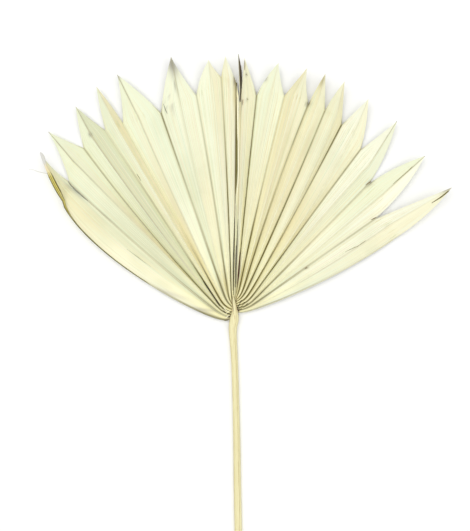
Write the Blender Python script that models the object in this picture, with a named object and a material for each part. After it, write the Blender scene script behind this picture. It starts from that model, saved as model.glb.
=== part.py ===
"""A dried fan palm leaf: a pleated blade and the stalk that it grew on, as one body lying on a surface.

Metres, +Z up. The stalk runs along -Y and the fan opens towards +Y, with the ribbed underside of the blade
turned up. The origin is the middle of the leaf's bounding box, at the height of the surface.
"""

import math

import bmesh
import bpy
from mathutils import Vector

MM = 0.001

# The leaf's own drawing has its hub, where the stalk meets the blade, at (0, 0). A place on the blade is a
# bearing in degrees, clockwise from +Y, and a reach in millimetres from the hub. A bow is how far the middle
# of a line stands off its chord, in millimetres: to the right for a fold, and outwards for a margin.
#
# Each segment, from left to right: its tip, the point of its ridge level with the notches, the bow of its
# ridge, the bows of its left and right margins, the notch at its right, the bow of the valley fold that ends
# in that notch, the height of its pleat there and how far its tip curls up.
SEGMENTS = (
    ((-50.2, 212), (-53.7, 178), -6.5, (1.5, -1.8), (-51.3, 179), -2.5, 2.6, 9.0),
    ((-45.5, 219), (-46.4, 189), 0.5, (-1.5, -0.5), (-42.2, 190), -4.0, 6.0, 3.5),
    ((-37.3, 220), (-38.7, 191), -1.5, (0.5, -0.5), (-35.0, 190), 0.0, 6.6, 1.0),
    ((-31.1, 224), (-31.9, 188), 0.0, (0.5, 0.5), (-30.1, 187), 0.0, 5.4, 2.5),
    ((-25.9, 224), (-25.8, 186), -1.0, (-1.0, 1.0), (-19.8, 181), 0.0, 5.2, 4.5),
    ((-13.6, 223), (-14.1, 183), -1.0, (1.0, -1.0), (-9.4, 188), 0.0, 6.2, 1.5),
    ((-5.5, 215), (-5.6, 194), 1.0, (1.5, -0.7), (-3.0, 201), 1.0, 5.6, 3.0),
    ((-1.7, 217), (-0.9, 198), 0.5, (0.3, 0.3), (0.6, 196), 0.0, 6.0, 5.0),
    ((1.4, 185), (1.2, 178), 0.0, (0.0, 0.0), (1.8, 179), 0.0, 4.0, 0.0),
    ((1.2, 219), (2.35, 179), 0.0, (0.6, 0.7), (2.9, 180), 0.0, 4.6, 6.0),
    ((2.6, 216), (4.2, 183), 0.0, (0.2, 0.3), (6.2, 186), 0.0, 6.2, 2.0),
    ((10.3, 215), (9.8, 188), -1.5, (1.5, -0.8), (13.3, 190), -0.5, 6.0, 1.5),
    ((16.8, 216), (15.8, 192), 0.0, (0.0, -1.2), (20.0, 189), -2.2, 6.4, 4.0),
    ((21.1, 217), (22.0, 192), 0.5, (0.5, 0.0), (24.3, 189), 2.0, 6.0, 2.5),
    ((25.7, 217), (27.7, 188), 3.0, (0.8, 0.0), (30.0, 185), 2.0, 6.4, 5.0),
    ((32.3, 214), (34.0, 185), 2.5, (0.0, 1.3), (38.0, 177), 0.5, 6.6, 3.0),
    ((40.5, 214), (42.6, 171), -1.0, (-0.5, 2.2), (46.5, 161), 0.0, 6.2, 1.5),
    ((50.7, 210), (51.6, 163), 0.0, (1.8, 3.2), (56.5, 145), 0.5, 5.8, 3.0),
    ((60.1, 213), (60.6, 152), 3.0, (0.0, 2.0), (64.6, 150), 4.0, 5.0, 7.0),
)
# The blade's own left edge, up to the shoulder where the first segment starts to narrow.
LEFT_SHOULDER = (-56.1, 177)
LEFT_EDGE_BOW = -14.0
LEFT_EDGE_CURL = 9.0 * MM

# The folds leave a slim ellipse inside the head of the stalk sideways, and straighten where they cross a
# wider one. Both are swept from the left edge's angle to the right edge's, measured from +Y.
ROOT_CENTRE = (1.2 * MM, 0.8 * MM)
ROOT_INNER = (1.5 * MM, 10.5 * MM)
ROOT_OUTER = (7.6 * MM, 12.7 * MM)
ROOT_SWEEP = (-126.0, 95.0)
ROOT_HOOK = 3.0 * MM

# Rows of points along each fold: from its root to the notches, and from there to the tips.
ROWS_TO_NOTCH = 13
ROWS_TO_TIP = 5
ROW_CROWDING = 1.7

BLADE_THICKNESS = 0.7 * MM
MOST_UPRIGHT_THICKNESS = 2.8 * MM
PLEAT_LENGTH = 26.0 * MM

# How the blade lies: the stalk holds the hub off the surface, the blade arches between the hub and its rim,
# and the rim comes down to the surface at the two notches with these bearings and rises between them.
HUB_LIFT = 3.0 * MM
ARCH = 3.0 * MM
RIM_REACH = 185.0 * MM
RIGHT_RIM_REACH = 156.0 * MM
RIGHT_RIM_BEARINGS = (24.0, 46.0)
RIM_RISE = 3.5 * MM
RESTING_BEARINGS = (-42.2, 46.5)

# Rings of the stalk, from its cut end to the point that it runs out in between the pleats: the ring's place
# along Y, the X of its middle, its width, its height and how far its flat underside is off the surface.
STALK_RINGS = (
    (-231.0, 5.2, 6.3, 4.7, 0.0),
    (-217.0, 5.0, 6.2, 4.7, 0.0),
    (-185.0, 4.5, 6.1, 4.6, 0.3),
    (-142.0, 3.7, 5.8, 4.5, 0.7),
    (-100.0, 3.0, 5.5, 4.4, 1.1),
    (-60.0, 2.0, 5.4, 4.4, 1.4),
    (-38.0, 1.2, 5.5, 4.5, 1.6),
    (-24.0, 0.6, 5.9, 4.8, 1.8),
    (-13.0, 0.2, 6.7, 5.2, 2.0),
    (-5.5, 0.8, 8.0, 5.6, 2.2),
    (0.0, 1.0, 6.4, 5.7, 2.4),
    (5.0, 1.0, 4.6, 5.3, 2.7),
    (10.0, 0.7, 3.0, 4.6, 3.1),
    (15.3, 0.1, 0.8, 2.6, 3.7),
)
# Half of the stalk's outline, seen from its cut end: shares of its half width and of its height.
STALK_OUTLINE = ((0.62, 0.0), (0.94, 0.16), (1.0, 0.42), (0.82, 0.76), (0.42, 0.97))

DRIED_CREAM = (0.83, 0.80, 0.53, 1.0)


def place(bearing, reach):
    """The point of the drawing at a bearing in degrees and a reach in millimetres."""
    angle = math.radians(bearing)
    return Vector((math.sin(angle), math.cos(angle))) * reach * MM


def bowed(start, end, share, bow):
    """A point on the line from start to end that stands off its chord, to the right, by bow at its middle."""
    chord = end - start
    right = Vector((chord.y, -chord.x)).normalized()
    return start + chord * share + right * (bow * 4 * share * (1 - share))


def root_ellipse(size, angle):
    """The point of an ellipse round the root at an angle from +Y."""
    return Vector((ROOT_CENTRE[0] + size[0] * math.sin(angle), ROOT_CENTRE[1] + size[1] * math.cos(angle)))


def fold_line(order, end, bow):
    """The plan of a fold, from its root to its end. Folds are numbered from 0 at the blade's left edge."""
    share = order / (2 * len(SEGMENTS))
    angle = math.radians(ROOT_SWEEP[0] + share * (ROOT_SWEEP[1] - ROOT_SWEEP[0]))
    inner, outer = root_ellipse(ROOT_INNER, angle), root_ellipse(ROOT_OUTER, angle)
    length = (end - outer).length
    points = []
    for row in range(ROWS_TO_NOTCH + 1):
        along = (row / ROWS_TO_NOTCH) ** ROW_CROWDING
        hook = math.exp(-along * length / ROOT_HOOK) * (1 - along)
        points.append(bowed(outer, end, along, bow * MM) + (inner - outer) * hook)
    return points


def lying_height(point):
    """How far the lowest fold of the blade is off the surface at a point of the plan."""
    bearing = math.degrees(math.atan2(point.x, point.y))
    first, last = RIGHT_RIM_BEARINGS
    turned = min(max((bearing - first) / (last - first), 0.0), 1.0)
    share = min(point.length / (RIM_REACH + (RIGHT_RIM_REACH - RIM_REACH) * turned), 1.0)
    left, right = RESTING_BEARINGS
    rise = abs(math.sin(math.pi * (bearing - left) / (right - left)))
    return HUB_LIFT * (1 - share) + ARCH * 4 * share * (1 - share) + RIM_RISE * rise * share**3


def travelled(points):
    """The distance from the first point to each point along a line."""
    total = [0.0]
    for before, after in zip(points, points[1:]):
        total.append(total[-1] + (after - before).length)
    return total


def risen(points, pleat):
    """The line's points with their heights: pleat is its height above the valleys, clear of the root."""
    return [
        Vector((point.x, point.y, lying_height(point) + pleat * (1 - math.exp(-far / PLEAT_LENGTH))))
        for point, far in zip(points, travelled(points))
    ]


def curled_edge(points):
    """The blade's left edge, which curls up past its middle."""
    line = risen(points, 0.0)
    for row, point in enumerate(line):
        share = max(0.0, (row / ROWS_TO_NOTCH) ** ROW_CROWDING - 0.35) / 0.65
        point.z += LEFT_EDGE_CURL * share * share * (3 - 2 * share)
    return line


def to_tip(start, tip, bow):
    """The points after start on a line to the tip, which leaves the valleys' height for the tip's."""
    points = []
    for row in range(1, ROWS_TO_TIP + 1):
        share = row / ROWS_TO_TIP
        flat = bowed(start.to_2d(), tip.to_2d(), share, bow * MM)
        points.append(Vector((flat.x, flat.y, start.z + (tip.z - start.z) * share)))
    return points


def blade_lines():
    """For each segment: its left edge, its ridge and its right edge, each from the root to the tip."""
    shoulder = place(*LEFT_SHOULDER)
    valley = curled_edge(fold_line(0, shoulder, LEFT_EDGE_BOW))
    lines = []
    for number, segment in enumerate(SEGMENTS):
        tip, crest, ridge_bow, margins, notch, valley_bow, pleat, curl = segment
        ridge = risen(fold_line(2 * number + 1, place(*crest), ridge_bow), pleat * MM)
        tip_point = place(*tip).to_3d()
        tip_point.z = ridge[-1].z + curl * MM
        next_valley = risen(fold_line(2 * number + 2, place(*notch), valley_bow), 0.0)
        left = valley + to_tip(valley[-1], tip_point, -margins[0])
        right = next_valley + to_tip(next_valley[-1], tip_point, margins[1])
        lines.append((left, ridge + to_tip(ridge[-1], tip_point, 0.0), right))
        valley = next_valley
    return lines


def upright_thickness(ridge, edge, row):
    """The blade's thickness measured upright, which keeps it as thick across a steep pleat as on the flat."""
    row = min(row, ROWS_TO_NOTCH)
    rise = ridge[row].z - edge[row].z
    run = (ridge[row] - edge[row]).to_2d().length
    steep = BLADE_THICKNESS * math.sqrt(1 + (rise / run) ** 2)
    return min(steep, MOST_UPRIGHT_THICKNESS)


def make_blade():
    """The pleated blade: its upper face, carried down by its thickness to give the lower one."""
    bm = bmesh.new()
    thickness = {}
    known = {}

    def vertex(point, upright):
        key = tuple(round(value, 7) for value in point)
        if key not in known:
            known[key] = bm.verts.new(point)
        thickness[known[key]] = max(thickness.get(known[key], 0.0), upright)
        return known[key]

    for left, ridge, right in blade_lines():
        for edge, turned in ((left, False), (right, True)):
            uprights = [upright_thickness(ridge, edge, row) for row in range(len(ridge))]
            outer = [vertex(point, upright) for point, upright in zip(edge, uprights)]
            inner = [vertex(point, upright) for point, upright in zip(ridge, uprights)]
            for row in range(len(ridge) - 1):
                corners = [outer[row], inner[row], inner[row + 1], outer[row + 1]]
                halves = (corners[:3], [corners[0], corners[2], corners[3]])
                for half in halves:
                    if len(set(half)) == 3:
                        bm.faces.new(half[::-1] if turned else half)
    for vert, upright in thickness.items():
        vert.co.z += upright
    upper = list(bm.faces)
    lower = bmesh.ops.extrude_face_region(bm, geom=upper, use_keep_orig=True)["geom"]
    top_of = {tuple(vert.co): upright for vert, upright in thickness.items()}
    for vert in lower:
        if isinstance(vert, bmesh.types.BMVert):
            vert.co.z -= top_of[tuple(vert.co)]
    bmesh.ops.recalc_face_normals(bm, faces=bm.faces)
    return finish("blade", bm)


def make_stalk():
    """The stalk: rings of one outline, flat below and round above, joined from the cut end to the point."""
    bm = bmesh.new()
    rings = []
    for y, x, width, height, lift in STALK_RINGS:
        half = [Vector((side * width / 2, y, lift + up * height)) for side, up in STALK_OUTLINE]
        mirrored = [Vector((-point.x, point.y, point.z)) for point in reversed(half)]
        top = [Vector((0.0, y, lift + height))]
        rings.append([bm.verts.new((point + Vector((x, 0.0, 0.0))) * MM) for point in half + top + mirrored])
    for ring, following in zip(rings, rings[1:]):
        for corner in range(len(ring)):
            after = (corner + 1) % len(ring)
            bm.faces.new((ring[corner], ring[after], following[after], following[corner]))
    bm.faces.new(rings[0])
    bm.faces.new(reversed(rings[-1]))
    bmesh.ops.recalc_face_normals(bm, faces=bm.faces)
    return finish("stalk", bm)


def finish(name, bm):
    """An object made of a finished bmesh."""
    mesh = bpy.data.meshes.new(name)
    bm.to_mesh(mesh)
    bm.free()
    obj = bpy.data.objects.new(name, mesh)
    bpy.context.scene.collection.objects.link(obj)
    return obj


def fused(name, body, grown_on):
    """One object: body and the piece that it has grown on, which overlap at the root."""
    union = body.modifiers.new("grown together", "BOOLEAN")
    union.operation = "UNION"
    union.object = grown_on
    bpy.context.view_layer.update()
    graph = bpy.context.evaluated_depsgraph_get()
    mesh = bpy.data.meshes.new_from_object(body.evaluated_get(graph))
    leaf = bpy.data.objects.new(name, mesh)
    bpy.context.scene.collection.objects.link(leaf)
    for piece in (body, grown_on):
        bpy.data.objects.remove(piece)
    return leaf


def set_on_origin(obj):
    """Moves the mesh so that the middle of its box is over the origin and its lowest point is at the surface."""
    points = [vert.co for vert in obj.data.vertices]
    low = Vector([min(point[axis] for point in points) for axis in range(3)])
    high = Vector([max(point[axis] for point in points) for axis in range(3)])
    middle = (low + high) / 2
    for vert in obj.data.vertices:
        vert.co -= Vector((middle.x, middle.y, low.z))


def leaf_material():
    material = bpy.data.materials.new("dried palm")
    material.use_nodes = True
    shader = material.node_tree.nodes["Principled BSDF"]
    shader.inputs["Base Color"].default_value = DRIED_CREAM
    shader.inputs["Roughness"].default_value = 0.6
    shader.inputs["Metallic"].default_value = 0.0
    material.diffuse_color = DRIED_CREAM
    return material


def main():
    for obj in list(bpy.data.objects):
        bpy.data.objects.remove(obj)
    leaf = fused("palm_leaf", make_blade(), make_stalk())
    set_on_origin(leaf)
    leaf.data.materials.clear()
    leaf.data.materials.append(leaf_material())
    leaf.data.shade_smooth()
    leaf.data.set_sharp_from_angle(angle=math.radians(20))


main()
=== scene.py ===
import math
import random

import bpy
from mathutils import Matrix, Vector
from mathutils.bvhtree import BVHTree


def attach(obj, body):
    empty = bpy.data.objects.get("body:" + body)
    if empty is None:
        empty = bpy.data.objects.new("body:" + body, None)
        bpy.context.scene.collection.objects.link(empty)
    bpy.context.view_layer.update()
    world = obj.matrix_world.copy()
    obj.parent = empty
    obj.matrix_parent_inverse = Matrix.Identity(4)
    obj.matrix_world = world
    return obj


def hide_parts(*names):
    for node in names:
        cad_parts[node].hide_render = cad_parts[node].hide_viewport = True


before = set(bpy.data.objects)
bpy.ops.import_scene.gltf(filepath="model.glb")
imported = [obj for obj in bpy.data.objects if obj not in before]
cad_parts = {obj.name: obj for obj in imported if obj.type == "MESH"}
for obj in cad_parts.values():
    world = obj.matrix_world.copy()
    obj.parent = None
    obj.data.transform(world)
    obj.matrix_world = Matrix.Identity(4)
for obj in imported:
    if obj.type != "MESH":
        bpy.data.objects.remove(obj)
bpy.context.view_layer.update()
print("model loaded:", sorted(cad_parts))

mm = 0.001
hair = 0.001 * mm  # points closer than this are one
hubAt = Vector((-10.883 * mm, 6.024 * mm, 0.0))  # where the stalk meets the blade


# helpers for node trees and meshes


def addNode(tree, kind, inputs=None, **settings):
    node = tree.nodes.new(kind)
    for key, value in settings.items():
        setattr(node, key, value)
    for key, value in (inputs or {}).items():
        if isinstance(value, bpy.types.NodeSocket):
            tree.links.new(value, node.inputs[key])
        else:
            node.inputs[key].default_value = value
    return node


def maths(tree, operation, first, *others):
    # more than two values are taken from left to right
    for other in others or (0.0,):
        first = addNode(tree, "ShaderNodeMath", {0: first, 1: other}, operation=operation).outputs[0]
    return first


def noise(tree, vector, scale, detail, **inputs):
    inputs.update({"Vector": vector, "Scale": scale, "Detail": detail})
    return addNode(tree, "ShaderNodeTexNoise", inputs).outputs[0]


def newTree(name, **sockets):
    tree = bpy.data.node_groups.new(name, "GeometryNodeTree")
    tree.interface.new_socket("Geometry", in_out="INPUT", socket_type="NodeSocketGeometry")
    for label, kind in sockets.items():
        tree.interface.new_socket(label, in_out="INPUT", socket_type=f"NodeSocket{kind}")
    tree.interface.new_socket("Geometry", in_out="OUTPUT", socket_type="NodeSocketGeometry")
    return tree, addNode(tree, "NodeGroupInput").outputs, addNode(tree, "NodeGroupOutput")


def namedValue(tree, name):
    node = addNode(tree, "GeometryNodeInputNamedAttribute", {"Name": name}, data_type="FLOAT")
    return node.outputs["Attribute"]


def endTree(tree, geometry, given, output):
    realized = addNode(tree, "GeometryNodeRealizeInstances", {"Geometry": geometry}).outputs[0]
    inputs = {"Geometry": realized, "Material": given["material"]}
    dressed = addNode(tree, "GeometryNodeSetMaterial", inputs).outputs[0]
    tree.links.new(dressed, output.inputs[0])


def grow(name, mesh, tree, **values):
    source = bpy.data.objects.new(name, mesh)
    bpy.context.scene.collection.objects.link(source)
    modifier = source.modifiers.new(tree.name, "NODES")
    modifier.node_group = tree
    for socket in tree.interface.items_tree:
        if socket.in_out == "INPUT" and socket.name in values:
            modifier[socket.identifier] = values[socket.name]
    bpy.context.view_layer.update()
    grown = source.evaluated_get(bpy.context.evaluated_depsgraph_get())
    made = bpy.data.meshes.new_from_object(grown)
    source.modifiers.remove(modifier)
    source.data = made
    return source


def setAttribute(mesh, name, kind, values):
    layer = mesh.attributes.new(name, kind, "POINT")
    field = {"FLOAT": "value", "FLOAT_VECTOR": "vector", "FLOAT_COLOR": "color"}[kind]
    flat = values if kind == "FLOAT" else [number for value in values for number in value]
    layer.data.foreach_set(field, flat)


# The leaf's segments from the left. Bearings are in degrees from +Y, reaches and bows in mm, all measured
# from the hub. A bow is how far the middle of a line stands off its chord. Each row holds the tip, the end of
# the ridge and its bow, the bows of the left and right margin, the notch to the right and the bow of the
# valley there, the height of the pleat, and how far the tip curls up.
segmentNames = ("tip", "ridge", "ridgeBow", "margins", "notch", "valleyBow", "pleat", "curl")
segmentTable = (
    ((-50.2, 212), (-53.7, 178), -6.5, (1.5, -1.8), (-51.3, 179), -2.5, 2.6, 9.0),
    ((-45.5, 219), (-46.4, 189), 0.5, (-1.5, -0.5), (-42.2, 190), -3.0, 6.0, 3.5),
    ((-37.3, 220), (-38.7, 191), -1.5, (0.5, -0.5), (-35.0, 190), 0.5, 6.6, 1.0),
    ((-31.1, 224), (-31.9, 188), 0.0, (0.5, 0.5), (-30.1, 187), 0.5, 5.4, 2.5),
    ((-25.9, 224), (-25.8, 186), -1.0, (-1.0, 1.0), (-19.8, 181), 0.0, 5.2, 4.5),
    ((-13.6, 223), (-14.1, 183), -1.0, (1.0, -1.0), (-9.55, 188), 1.0, 6.2, 1.5),
    ((-5.5, 215), (-5.6, 194), 1.0, (1.5, -0.7), (-2.85, 201), 1.0, 4.6, 3.0),
    ((-1.7, 217), (-0.9, 198), 0.5, (0.3, 0.3), (0.8, 196), 0.5, 3.6, 5.0),
    ((1.45, 185), (1.3, 178), 0.0, (0.0, 0.0), (1.8, 179), 0.0, 1.2, 0.0),
    ((1.2, 219), (1.98, 179), 0.0, (-1.0, 2.1), (2.16, 180), 0.4, 1.2, 6.0),
    ((2.6, 216), (4.2, 183), 0.0, (0.2, 0.3), (6.2, 186), -0.5, 4.4, 2.0),
    ((10.3, 215), (9.8, 188), -1.5, (1.5, -0.8), (13.3, 190), -1.0, 6.0, 1.5),
    ((16.8, 216), (15.8, 192), 0.0, (0.0, -1.2), (19.85, 189), -2.2, 6.4, 4.0),
    ((21.1, 217), (22.0, 192), 0.5, (0.5, 0.0), (24.45, 189), 1.0, 6.0, 2.5),
    ((25.7, 217), (27.7, 188), 3.0, (0.8, 0.0), (30.0, 185), 1.0, 6.4, 5.0),
    ((32.3, 214), (34.0, 185), 2.5, (0.0, 1.3), (38.0, 177), -0.5, 6.6, 3.0),
    ((40.5, 214), (42.6, 171), -1.0, (-0.5, 2.2), (46.5, 161), 0.0, 6.2, 1.5),
    ((50.7, 210), (51.6, 163), 0.0, (1.8, 3.2), (56.5, 145), 0.0, 5.8, 3.0),
    ((60.1, 213), (60.6, 152), 3.0, (0.0, 2.8), (65.4, 150), 5.0, 5.0, 7.0),
)
segments = [dict(zip(segmentNames, row)) for row in segmentTable]

tones = {
    "pale": (0.91, 0.92, 0.73),
    "cream": (0.89, 0.87, 0.62),
    "green": (0.86, 0.89, 0.67),
    "straw": (0.86, 0.81, 0.52),
    "tan": (0.80, 0.74, 0.46),
    "leaf": (0.80, 0.84, 0.61),
    "sage": (0.67, 0.70, 0.47),
    "mint": (0.78, 0.88, 0.70),
    "mist": (0.74, 0.75, 0.52),
    "blush": (0.82, 0.72, 0.52),
}
# Each segment's left and right half, as its tone near the hub and near the rim, and how dark its fold lines
# are
# painted: the ridge at the blade's ridgeStops, and the valley to its right at the valleyStops, where the dark
# is painted shade in the crease. 0 gives the lightest and thinnest rib and 1 the darkest, and above 1 it is
# thicker.
lookNames = ("left", "right", "ridge", "valley")
lookTable = (
    ("cream straw", "mist mist", (0.0, 0.0, 0.0, 0.0), (0.41, 0.28, 0.42, 0.36)),
    ("sage leaf", "tan leaf", (0.2, 0.2, 0.45, 0.65), (0.9, 0.8, 0.62, 0.55)),
    ("sage leaf", "sage sage", (0.2, 0.45, 0.45, 0.55), (1.3, 0.36, 0.52, 0.28)),
    ("cream leaf", "straw tan", (0.1, 0.15, 0.2, 0.3), (1.1, 0.2, 0.1, 0.15)),
    ("tan leaf", "green leaf", (0.2, 0.3, 0.35, 0.75), (0.85, 0.47, 0.52, 0.8)),
    ("leaf green", "cream green", (0.1, 0.15, 0.25, 0.7), (0.92, 0.5, 0.55, 0.42)),
    ("green green", "pale cream", (0.0, 0.15, 0.15, 0.3), (1.2, 1.25, 0.85, 0.45)),
    ("pale cream", "pale pale", (0.0, 0.0, 0.1, 0.1), (1.0, 1.3, 1.25, 1.0)),
    ("tan straw", "pale pale", (0.0, 0.0, 0.0, 0.0), (0.2, 0.1, 0.1, 0.1)),
    ("pale pale", "pale pale", (0.0, 0.0, 0.0, 0.9), (1.3, 0.57, 0.3, 0.2)),
    ("pale cream", "straw cream", (0.0, 0.1, 0.1, 0.3), (1.3, 1.3, 1.05, 0.8)),
    ("cream leaf", "cream green", (0.0, 0.1, 0.15, 0.2), (1.3, 0.94, 0.42, 0.34)),
    ("straw tan", "straw cream", (0.0, 0.1, 0.1, 0.2), (1.3, 0.76, 0.52, 0.7)),
    ("tan straw", "straw cream", (0.0, 0.1, 0.1, 0.3), (1.3, 1.0, 0.9, 0.66)),
    ("cream cream", "straw straw", (0.0, 0.1, 0.2, 0.3), (1.05, 0.68, 0.6, 0.92)),
    ("straw pale", "tan cream", (0.0, 0.1, 0.15, 0.3), (1.2, 0.88, 0.64, 0.68)),
    ("pale pale", "cream green", (0.0, 0.15, 0.25, 0.6), (0.9, 0.62, 0.39, 0.44)),
    ("pale leaf", "green pale", (0.0, 0.15, 0.25, 0.7), (0.8, 0.52, 0.44, 0.5)),
    ("pale pale", "green cream", (0.1, 0.3, 0.25, 0.1), (0.4, 0.3, 0.3, 0.3)),
)
segmentLooks = [dict(zip(lookNames, row)) for row in lookTable]

# weathered spots, and spots of painted shade noted below: x and y from the hub, half width, half length along
# the fibres (all in mm), kind, strength, and for some the number of the one segment that they keep to
spots = [
    (-163.0, 136.0, 3.0, 7.0, "grey", 0.9),
    (-121.0, 151.5, 1.2, 2.0, "brown", 0.8),
    (-97.5, 201.0, 1.5, 4.0, "grey", 0.7),
    (-52.5, 213.0, 2.4, 8.0, "brown", 0.35),
    (-51.0, 210.0, 4.6, 9.0, "grey", 0.75),
    # these two brown spots are painted shade on the dark sliver, the shaded inside of a folded segment
    (5.4, 211.0, 2.0, 12.0, "brown", 1.0, 9),
    (6.3, 192.0, 1.9, 19.0, "brown", 1.0, 9),
    # painted shade beside the deep valley right of this segment
    (1.6, 186.0, 1.7, 18.0, "gold", 0.75, 7),
    (75.5, 197.0, 2.2, 9.0, "gold", 0.5, 13),
    (-118.0, 80.0, 9.0, 12.0, "gold", 0.14, 0),
    (-6.0, 22.0, 1.6, 9.0, "gold", 0.5),
    (6.6, 32.0, 1.3, 16.0, "gold", 0.6),
    (13.0, 40.0, 1.6, 18.0, "gold", 0.5),
    (-33.0, 52.0, 2.4, 16.0, "gold", 0.35),
    # these two gold bands are painted shade along valleys
    (46.0, 148.0, 2.4, 26.0, "gold", 0.3),
    (61.0, 140.0, 2.4, 26.0, "gold", 0.25),
    # these three grey spots are painted shade by the first segment's notch and along its lower margin
    (-135.0, 104.0, 2.2, 11.0, "grey", 0.5, 0),
    (-62.0, 19.0, 1.6, 22.0, "grey", 0.45, 0),
    (-28.0, 3.0, 1.4, 16.0, "grey", 0.45, 0),
    (11.3, 202.0, 0.9, 1.5, "brown", 0.6),
    (12.2, 181.0, 1.0, 1.4, "brown", 0.6),
    (8.0, 179.0, 0.9, 2.0, "brown", 0.5),
    (28.0, 199.0, 1.2, 2.5, "grey", 0.8),
    (64.0, 178.0, 2.0, 2.0, "brown", 0.7),
    (76.0, 197.0, 1.4, 5.0, "brown", 0.35),
    (117.0, 111.0, 1.4, 4.0, "brown", 0.7),
    (62.0, 38.0, 1.0, 1.4, "brown", 0.7),
    (183.0, 106.0, 1.6, 7.0, "brown", 0.7),
    (-2.8, -3.1, 1.6, 2.2, "brown", 0.8),
    (4.2, 2.4, 1.4, 2.0, "brown", 0.9),
    (4.7, 33.0, 0.9, 7.0, "brown", 0.9),
    (-4.2, -6.5, 1.6, 1.8, "brown", 0.7),
    (-52.5, 178.0, 0.6, 9.0, "brown", 0.35),
    (-49.0, 193.0, 0.7, 8.0, "brown", 0.5),
    (-57.0, 174.0, 0.6, 6.0, "brown", 0.3),
    # these three brown spots are painted shade in the deep valley by the narrow strip and below the dark
    # sliver
    (1.6, 198.0, 1.3, 5.0, "brown", 0.75, 7),
    (6.0, 177.0, 0.8, 9.0, "brown", 0.8, 8),
    (7.0, 177.0, 0.5, 8.0, "brown", 0.5, 10),
]
spotReach = 3.0  # past this many half lengths a spot has faded out

# lengths are in mm, and in metres where they are multiplied by mm
blade = {
    "leftShoulder": (-56.6, 172),
    "leftEdgeBow": -14.5,
    "leftEdgeFullness": 0.7,
    "leftEdgeLean": 0.35,
    "leftEdgeCurl": 9.0,
    "leftEdgeCurlFrom": 0.35,
    "rowsToNotch": 70,
    "rowsToTip": 20,
    "crowding": 1.7,
    "columns": (0.0, 0.04, 0.12, 0.26, 0.42, 0.58, 0.74, 0.88, 0.96, 1.0),
    "thickness": 0.45 * mm,
    "raised": 0.30 * mm,
    "pleatLength": 36.0,
    "belly": 0.45,
    "bellyRange": (0.3, 1.4),
    "fullWidth": 9.0,  # a half this wide has its whole belly, and the ribs past the notches are sized for it
    "rippleHeight": 0.5 * mm,
    "rippleScale": 45.0,
    "creaseReach": 1.5,
    "creaseShare": 0.35,  # the most of a narrow half's width that a crease takes
    "leastCrease": 0.05,
    # places along a fold, where 0 is its root, 1 is level with the notch and 2 is the tip
    "ridgeStops": (0.12, 0.5, 1.0, 2.0),
    "valleyStops": (0.13, 0.33, 0.6, 0.87),
    # painted shade along the first segment's left edge, which rolls up, at the valleyStops
    "leftEdgePaintedShade": (0.8, 0.5, 0.4, 0.4),
    "tipFade": 0.25,
    "toneFrom": 0.45,
    "toneSpan": 0.5,
    "shadeRange": (0.97, 1.03),
    "sharpAngle": 24,
    "seed": 11,
}
bladeSizes = ("rippleHeight", "rippleScale", "raised", "thickness")
root = {
    "centre": (1.2, 0.8),
    "inner": (1.5, 10.5),
    "outer": (7.6, 12.7),
    "sweep": (-126.0, 95.0),
    "hook": 3.0,
    # how far each valley's root stands to the right of the even sweep
    "shifts": (
        (0.0, -0.6, -0.3, -1.2, -0.4, 1.6, 2.0, 2.8, 3.2, 2.8)
        + (2.1, 1.45, 0.9, 2.0, 1.6, 2.4, 2.8, 2.4, 0.8, 0.0)
    ),
}
lying = {
    "hubLift": 3.0,
    "arch": 3.0,
    "rimReach": 185.0,
    "rightRimReach": 156.0,
    "rightRimBearings": (24.0, 46.0),
    "rimRise": 3.5,
    "restingBearings": (-42.2, 46.5),
}


# the folds of the fan


def clamp(value):
    return min(max(value, 0.0), 1.0)


def smooth(share):
    return share * share * (3 - 2 * share)


def graded(stops, value, soft=True):
    # stops are pairs of a place and the value there, and a soft grade eases in and out of each
    if value <= stops[0][0]:
        return stops[0][1]
    for (first, start), (last, end) in zip(stops, stops[1:]):
        if value <= last:
            share = (value - first) / (last - first)
            return start + (end - start) * (smooth(share) if soft else share)
    return stops[-1][1]


def place(bearing, reach):
    angle = math.radians(bearing)
    return Vector((math.sin(angle), math.cos(angle))) * reach


def bowed(start, end, share, bow, fullness=1.0, lean=0.0):
    chord = end - start
    standOff = (4 * share * (1 - share)) ** fullness * (1 + lean * (share - 0.5))
    return start + chord * share + Vector((chord.y, -chord.x)).normalized() * (bow * standOff)


def rootPoint(size, angle):
    x, y = root["centre"]
    return Vector((x + size[0] * math.sin(angle), y + size[1] * math.cos(angle)))


def lyingHeight(point):
    # the valleys' height over the surface: an arch from the hub to the rim, which dips to its resting points
    bearing = math.degrees(math.atan2(point.x, point.y))
    first, last = lying["rightRimBearings"]
    turned = clamp((bearing - first) / (last - first))
    rim = lying["rimReach"] + (lying["rightRimReach"] - lying["rimReach"]) * turned
    share = min(point.length / rim, 1.0)
    left, right = lying["restingBearings"]
    rise = abs(math.sin(math.pi * (bearing - left) / (right - left)))
    arch = lying["arch"] * 4 * share * (1 - share)
    return lying["hubLift"] * (1 - share) + arch + lying["rimRise"] * rise * share**3


def foldLine(order, end, bow, fullness=1.0, lean=0.0):
    # order counts the folds from the left edge, which is 0: the even ones are valleys and the odd ones ridges
    first, last = root["sweep"]
    angle = math.radians(first + order / (2 * len(segments)) * (last - first))
    inner, outer = rootPoint(root["inner"], angle), rootPoint(root["outer"], angle)
    shift = (root["shifts"][order // 2] + root["shifts"][(order + 1) // 2]) / 2
    away = end - outer
    outer += Vector((away.y, -away.x)).normalized() * shift
    length = (end - outer).length
    line = []
    travelled = 0.0
    for row in range(blade["rowsToNotch"] + 1):
        along = (row / blade["rowsToNotch"]) ** blade["crowding"]
        hook = math.exp(-along * length / root["hook"]) * (1 - along)
        flat = bowed(outer, end, along, bow, fullness, lean) + (inner - outer) * hook
        if line:
            travelled += (flat - line[-1]["at"].to_2d()).length
        at = Vector((flat.x, flat.y, lyingHeight(flat)))
        line.append({"at": at, "far": travelled, "along": along})
    return line


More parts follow.
